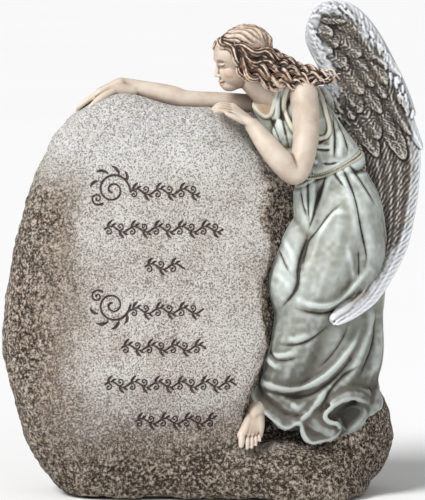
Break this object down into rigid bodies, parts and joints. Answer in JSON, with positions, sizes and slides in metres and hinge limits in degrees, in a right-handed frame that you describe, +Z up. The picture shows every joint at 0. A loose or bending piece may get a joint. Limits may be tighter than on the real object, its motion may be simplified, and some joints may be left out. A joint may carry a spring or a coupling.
{
  "type": "resin angel figurine",
  "caption": "Resin memorial figurine of a winged angel in a long gown leaning over an upright boulder, on a low rocky plinth.",
  "frame": {"origin": "bottom centre of the object's box, on the surface it stands on", "axes": "+X to the viewer's right, +Y away from the viewer (the inscription side faces -Y), +Z up"},
  "size_m": [0.253, 0.0926, 0.2962],
  "materials": {
    "rock": "cast resin with stone powder, painted and dry-brushed as granite",
    "rock_plate": "unpainted cast resin",
    "gown": "satin antique paint over cast resin",
    "skin": "satin paint over cast resin",
    "hair": "satin antique paint over cast resin",
    "wings": "antique wash with pale dry-brushed edges over cast resin",
    "pins": "plain drawn rod",
    "pads": "self-adhesive anti-slip pads"
  },
  "bodies": {
    "root": {"rock_shell": "rock", "base_plate": "rock_plate", "foot_pad_1": "pads", "foot_pad_2": "pads", "foot_pad_3": "pads", "foot_pad_4": "pads", "skirt": "gown", "bodice": "gown", "head": "skin", "left_arm": "skin", "right_arm": "skin", "foot": "skin", "hair": "hair", "left_wing": "wings", "right_wing": "wings", "waist_pin": "pins", "neck_pin": "pins", "left_arm_pin": "pins", "right_arm_pin": "pins", "left_wing_pin_upper": "pins", "left_wing_pin_lower": "pins", "right_wing_pin_upper": "pins", "right_wing_pin_lower": "pins", "foot_pin": "pins", "skirt_pin_front": "pins", "skirt_pin_rear": "pins"}
  },
  "joints": []
}
